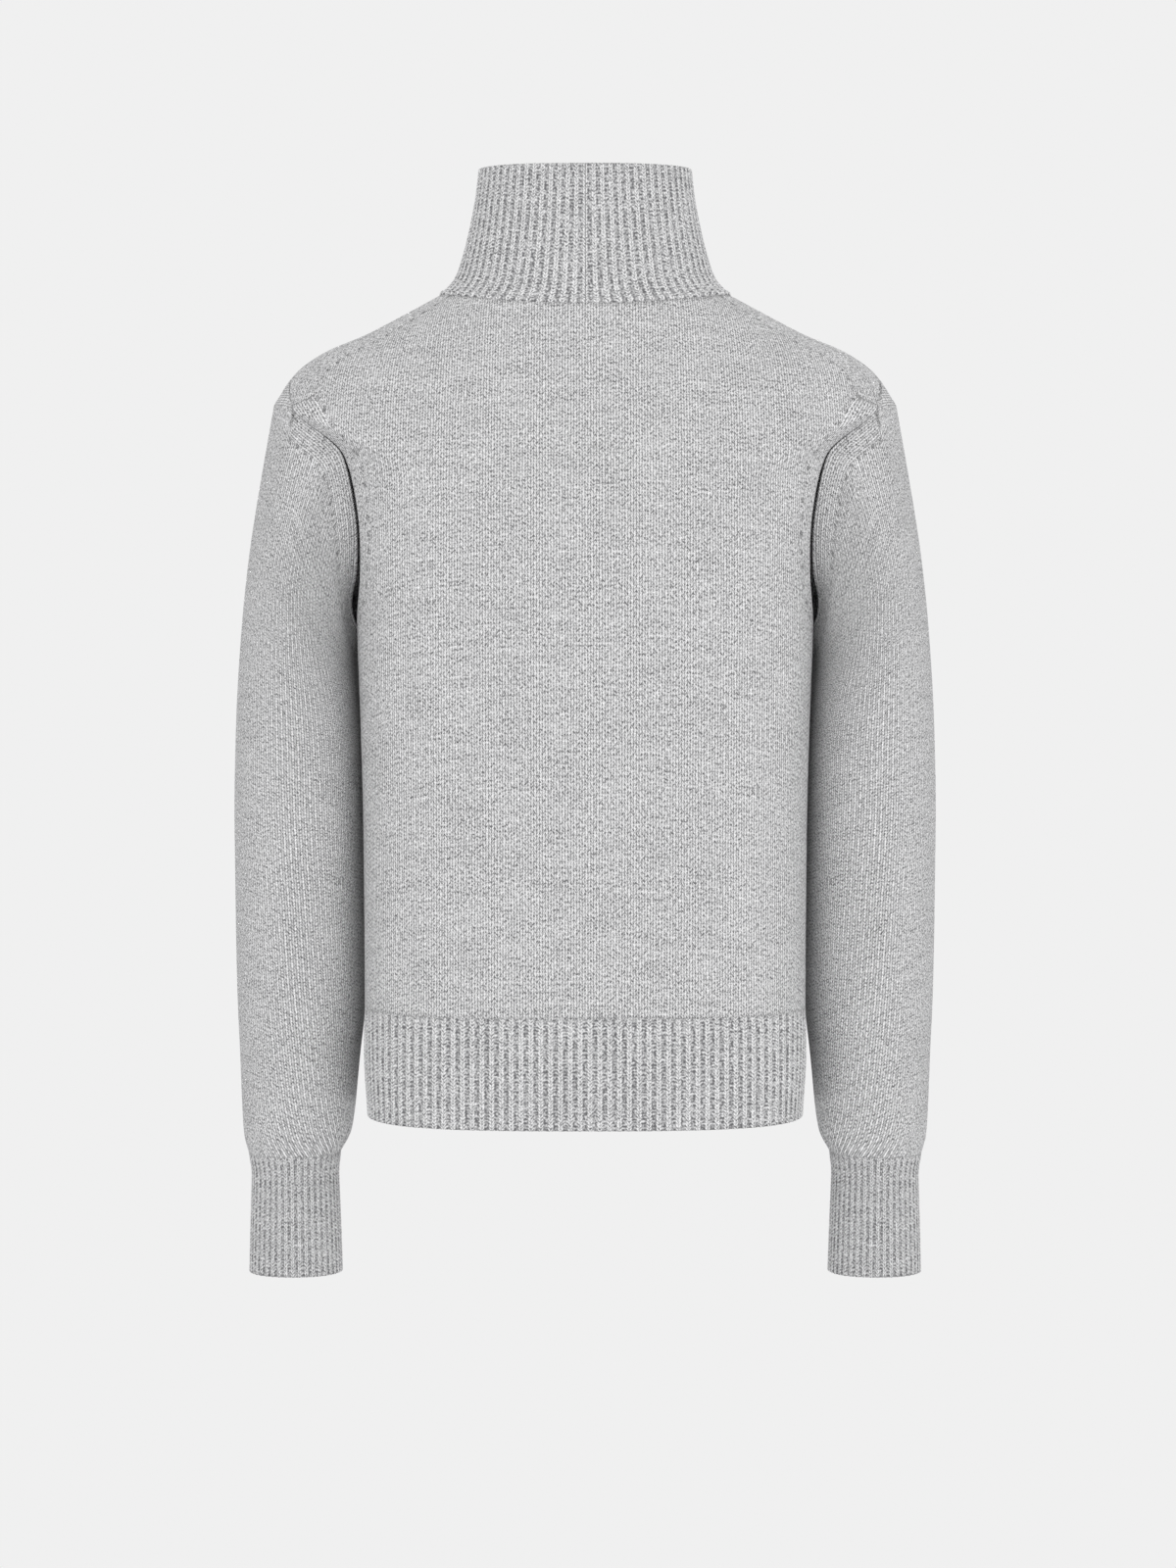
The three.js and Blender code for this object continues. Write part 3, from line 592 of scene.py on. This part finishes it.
def front_outline():
    """The same rows for the edge of a front."""
    side = np.linspace(RIB_TOP, UNDERARM, 60)[:-1]
    angle, level = armhole(np.linspace(360, JOIN_FRONT, 56))
    front_join = level[-1]
    over_angle, over_level = armhole(np.linspace(JOIN_FRONT, JOIN_BACK, 24)[1:])
    share = np.linspace(0, 1, 24)[1:]
    top = np.linspace(JOIN_LEVEL, NECK, 48)[1:]
    high = np.linspace(0, 1, 48)[1:]
    over_middle = front_join + (FRONT_LEVEL_AT_JOIN - front_join) * share
    top_middle = FRONT_LEVEL_AT_JOIN + (NECK - FRONT_LEVEL_AT_JOIN) * high
    return np.concatenate([
        np.stack([side * 0, side, side, side * 0], 1),
        np.stack([angle, level, level, level * 0 + 1], 1),
        np.stack([over_angle, over_level, over_middle, share * 0 + 1], 1),
        np.stack([shoulder_angle(top), top, top_middle, high * 0 + 1], 1),
    ])


def panel(line, middle_angle, columns):
    u = np.linspace(0, 1, columns)[None, :]
    angle = middle_angle[:, None] * u + line[:, :1] * (1 - u) ** EDGE_SHARE
    level = line[:, 1:2] + (line[:, 2:3] - line[:, 1:2]) * u * (2 - u)
    points = body_point(angle, level)
    normals = normal_of(body_point, angle, level, NECK)
    return angle, level, points, normals


def whole(grid, sign=1):
    """A half grid and its mirror image, joined at the middle column."""
    other = grid[:, ::-1][:, 1:].copy()
    if grid.shape[-1] == 3:
        other[..., 0] *= -1
    elif sign < 0:
        other[..., 0] *= -1
    return np.concatenate([grid, other], 1)


def valley_depth(turn):
    """How deep the cloth sinks at the armhole seam, behind the arm."""
    return VALLEY * smooth(turn, 5, 45) * smooth(-turn, -128, -60)


# Back panel
line = back_outline()
angle, level, points, normals = panel(line, np.full(len(line), 90.0), 62)
shaped = points[line[:, 3] > 0, 0]
gap, along = nearest_edge(points, shaped)
hole_line = points[(line[:, 3] == 1), 0]
hole_turns = np.concatenate([np.linspace(0, JOIN_BACK, 56), np.full(len(hole_line) - 56, JOIN_BACK)])
along_hole = arc_along(hole_line, 0)
sink = valley_depth(np.interp(along, along_hole, hole_turns)) * np.clip(1 - gap / VALLEY_BODY, 0, 1) ** 2
points = points - normals * sink[..., None]
height = points[..., 2] + 0.45 * (106 - points[..., 1])
field = np.stack([back_lengths(angle, level) / WALE, height / COURSE], -1)
edge = np.stack([gap / WALE, along / COURSE], -1)
maps = {"field": whole(field, -1), "edge": whole(edge)}
back_panel = shell("back_cloth", whole(points), whole(normals), KNIT, maps)
settle(back_panel, "back_panel", knit)

# Front panels
line = front_outline()
middle = front_edge_angle(BODY, line[:, 2])
angle, level, points, normals = panel(line, middle, 56)
over = line[:, 3] > 0
gap, along = nearest_edge(points, points[over, 0])
height = points[..., 2] + 0.85 * (points[..., 1] + 120) * smooth(points[..., 2], -170, -60)
field = np.stack([front_lengths(angle, level) / WALE, height / COURSE], -1)
maps = {"field": field, "edge": np.stack([gap / WALE, along / COURSE], -1)}
for side in ("left", "right"):
    made = shell(side + "_front_cloth", points, normals, KNIT, maps, side == "right")
    settle(made, side + "_front", knit)


def corrugated(points, normals, ribs, height=1.1, raised=0.6, fade=1.0):
    """Ribs as real ridges, a raised wale and a sunk one by turns."""
    place = np.abs(ribs - np.floor(ribs) - 0.5) * 2
    lift = 1 - smooth(place, raised - 0.35, raised + 0.35)
    return points + normals * ((lift - 0.55) * height * fade)[..., None]


def body_front_edge(level):
    return front_edge_angle(BODY, level)


# Hem ribs
def hem(name, node, start, end, lengths, mirror=False, both=False):
    levels = np.linspace(0, RIB_TOP, 26)[:, None]
    share = np.linspace(0, 1, 420)[None, :]
    finish_angle = end(levels) if callable(end) else np.full_like(levels, end)
    angle = start + (finish_angle - start) * share
    level = levels + 0 * share
    points = body_point(angle, level)
    normals = normal_of(body_point, angle, level, NECK)
    ribs = lengths(angle, level) / HEM_PITCH
    points = corrugated(points, normals, ribs, fade=smooth(-level, -RIB_TOP, -RIB_TOP + 0.25))
    field = np.stack([ribs, points[..., 2] / RIB_COURSE], -1)
    if both:
        points, normals, field = whole(points), whole(normals), whole(field, -1)
    made = shell(name, points, normals, RIB, {"field": field}, mirror)
    settle(made, node, rib)


hem("back_hem_cloth", "back_hem_rib", 0.0, 90.0, back_lengths, both=True)
for side in ("left", "right"):
    node = side + "_front_hem_rib"
    hem(side + "_front_hem_cloth", node, 0.0, body_front_edge, front_lengths, side == "right")

# Collar
levels = np.linspace(0, COLLAR_TOP, 56)[:, None]
share = np.linspace(0, 1, 420)[None, :]
low = front_edge_angle(RISE, levels)
angle = low + (90 - low) * share
level = levels + 0 * share
points = collar_point(angle, level)
normals = normal_of(collar_point, angle, level, COLLAR_TOP)
round_ribs = arc_along(collar_point(angle[-1:], level[-1:]), 1)
ribs = (round_ribs[:, -1:] - round_ribs) / COLLAR_PITCH + 0.5 + 0 * level
points = corrugated(points, normals, ribs, 1.0)
up = arc_along(collar_point(angle, level), 0)
seam_ridge = np.exp(-(((up - 2.2) / 1.3) ** 2)) * 1.3
points += normals * seam_ridge[..., None]
field = np.stack([ribs, up / RIB_COURSE], -1)
collar = shell("collar_cloth", whole(points), whole(normals), COLLAR, {"field": whole(field, -1)})
settle(collar, "collar", rib)

# Sleeves and cuffs
behind = np.linspace(0, JOIN_BACK, 60)
above = np.linspace(JOIN_BACK, JOIN_FRONT, 30)[1:]
before = np.linspace(JOIN_FRONT, 360, 60)[1:]
turns = np.concatenate([behind, above, before])[None, :]
rings = np.linspace(0, 12, 150)[:, None]
turn, ring = np.broadcast_arrays(turns, rings)
points = sleeve_point(turn, ring)
normals = normal_of(sleeve_point, turn, ring, 12)
round_arm = arc_along(points, 1)
top_at = np.argmin(np.abs(turns[0] - 180))
wales = (round_arm - round_arm[:, top_at : top_at + 1]) / ARM_WALE
down = arc_along(points, 0)
outer_down = down[:, top_at : top_at + 1]
courses = -(outer_down + 0 * down) / ARM_COURSE - 0.3 * (down - outer_down) / ARM_COURSE
loop = arc_along(points[:1], 1) / ARM_COURSE
points = points - normals * (valley_depth(turn) * np.clip(1 - down / VALLEY_ARM, 0, 1) ** 2)[..., None]
band = down / ARM_WALE + 60 * smooth(np.abs(turn - 180), 46, 40)
maps = {"field": np.stack([wales, courses], -1), "edge": np.stack([band, loop + 0 * down], -1)}
for side in ("left", "right"):
    made = shell(side + "_sleeve_cloth", points, normals, KNIT, maps, side == "right")
    settle(made, side + "_sleeve", knit)

turns = np.linspace(0, 360, 361)[None, :]
rings = np.linspace(0, 3, 36)[:, None]
turn, ring = np.broadcast_arrays(turns, rings)
points = cuff_point(turn, ring)
normals = normal_of(cuff_point, turn, ring, 3)
round_cuff = arc_along(points, 1)
count = round(float(round_cuff[-1, -1]) / CUFF_PITCH)
ribs = round_cuff / round_cuff[:, -1:] * count
down = arc_along(points, 0)
points = corrugated(points, normals, ribs, 0.9, fade=smooth(ring, 0, 0.4))
field = np.stack([ribs, -down / RIB_COURSE], -1)
for side in ("left", "right"):
    made = shell(side + "_cuff_cloth", points, normals, RIB, {"field": field}, side == "right")
    settle(made, side + "_cuff", rib)

# ---------------------------------------------------------------- zip
TOOTH_PITCH, TOOTH_DEPTH = 3.0, 2.4
TOOTH_ENDS = 0.15, 2.85  # a tooth's reach from the middle of the zip
TWILL = 1.2  # one thread of the tape's weave


def corners_of(node):
    """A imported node's corner points, in millimetres."""
    spots = np.zeros(len(node.data.vertices) * 3)
    node.data.vertices.foreach_get("co", spots)
    return spots.reshape(-1, 3) * 1000


def zip_teeth(side):
    """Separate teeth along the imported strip, set half a pitch apart from those of the other side."""
    spots = np.unique(corners_of(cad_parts[side + "_zip_teeth"]).round(2), axis=0)
    spots = spots[np.argsort(spots[:, 2])]
    middles = spots.reshape(-1, 4, 3).mean(1)
    inner, outer = TOOTH_ENDS
    sign = 1 if side == "left" else -1
    shift = 0.0 if side == "left" else TOOTH_PITCH / 2
    places = np.arange(spots[0, 2] + TOOTH_PITCH + shift, spots[-1, 2] - TOOTH_PITCH, TOOTH_PITCH)
    depths = np.interp(places, middles[:, 2], middles[:, 1])
    verts, faces = [], []
    for z, y in zip(places, depths):
        first = len(verts)
        for x, half in ((inner, 0.5), (outer, 0.8)):
            for front in (y - TOOTH_DEPTH / 2, y + TOOTH_DEPTH / 2):
                for up in (-1, 1):
                    verts.append((sign * x, front, z + up * half * TOOTH_PITCH / 2))
        for quad in ((0, 1, 3, 2), (4, 6, 7, 5), (0, 4, 5, 1), (2, 3, 7, 6), (0, 2, 6, 4), (1, 5, 7, 3)):
            faces.append([first + k for k in quad])
    mesh = bpy.data.meshes.new(side + "_zip_teeth_row")
    mesh.from_pydata((np.array(verts) / 1000).tolist(), [], faces)
    bm = bmesh.new()
    bm.from_mesh(mesh)
    bmesh.ops.recalc_face_normals(bm, faces=bm.faces)
    bm.to_mesh(mesh)
    bm.free()
    made = bpy.data.objects.new(side + "_zip_teeth_row", mesh)
    bpy.context.scene.collection.objects.link(made)
    settle(made, side + "_zip_teeth", metal)


for side in ("left", "right"):
    zip_teeth(side)
for name in ("left_zip_top_stop", "right_zip_top_stop", "zip_box", "zip_slider", "zip_pull"):
    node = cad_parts[name]
    node.data.materials.clear()
    node.data.materials.append(metal)

def zip_tape(side):
    """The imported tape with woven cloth, mapped across and up."""
    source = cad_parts[side + "_zip_tape"]
    made = bpy.data.objects.new(side + "_zip_tape_cloth", source.data.copy())
    bpy.context.scene.collection.objects.link(made)
    mesh = made.data
    while mesh.uv_layers:
        mesh.uv_layers.remove(mesh.uv_layers[0])
    layer = mesh.uv_layers.new(name="field")
    across_and_up = corners_of(made)[loop_corners(mesh)][:, [0, 2]]
    layer.data.foreach_set("uv", (across_and_up / TWILL).astype(np.float32).ravel())
    settle(made, side + "_zip_tape", tape_cloth)


for side in ("left", "right"):
    zip_tape(side)

# ---------------------------------------------------------------- camera, light and floor
scene = bpy.context.scene
camera_data = bpy.data.cameras.new("camera")
camera_data.lens = 86.04
camera_data.sensor_width = 36
camera_data.clip_start = 0.05
camera_data.clip_end = 50
camera = bpy.data.objects.new("camera", camera_data)
camera.location = (-0.002, 2.6, -0.202)
camera.rotation_euler = (math.radians(87), 0, math.radians(180))
scene.collection.objects.link(camera)
scene.camera = camera

bpy.ops.mesh.primitive_circle_add(vertices=96, radius=2.1, fill_type="NGON", location=(0, 0, -1.5))
floor = bpy.context.object
floor.name = "floor"
floor_nodes = Nodes("floor_paint")
floor.data.materials.append(floor_nodes.finish(grey(0.82), 0.8, None))


def lamp(name, place, aim, size, power):
    data = bpy.data.lights.new(name, "AREA")
    data.shape = "RECTANGLE"
    data.size, data.size_y = size
    data.energy = power
    made = bpy.data.objects.new(name, data)
    made.location = place
    direction = np.array(aim) - np.array(place)
    made.rotation_euler = mathutils.Vector(direction).to_track_quat("-Z", "Y").to_euler()
    scene.collection.objects.link(made)


lamp("key", (0.9, 2.8, 1.2), (0, 0, -0.3), (1.8, 1.8), 24)
lamp("fill", (-1.5, 2.6, 0.0), (0, 0, -0.3), (1.8, 2.2), 19)
lamp("rim", (0, -2.6, 1.0), (0, 0, -0.3), (2.4, 1.6), 30)



def background(tree, grey_level, strength):
    node = tree.nodes.new("ShaderNodeBackground")
    node.inputs["Color"].default_value = (grey_level, grey_level, grey_level, 1)
    node.inputs["Strength"].default_value = strength
    return node.outputs[0]


def studio_room():
    """A white room that lights the garment, seen as a pale grey backdrop."""
    world = bpy.data.worlds.new("studio")
    world.use_nodes = True
    tree = world.node_tree
    tree.nodes.clear()
    path = tree.nodes.new("ShaderNodeLightPath")
    choose = tree.nodes.new("ShaderNodeMixShader")
    out = tree.nodes.new("ShaderNodeOutputWorld")
    tree.links.new(path.outputs["Is Camera Ray"], choose.inputs[0])
    tree.links.new(background(tree, 1, 0.88), choose.inputs[1])
    tree.links.new(background(tree, 0.871, 1.0), choose.inputs[2])
    tree.links.new(choose.outputs[0], out.inputs["Surface"])
    return world


scene.world = studio_room()
scene.view_settings.view_transform = "Standard"
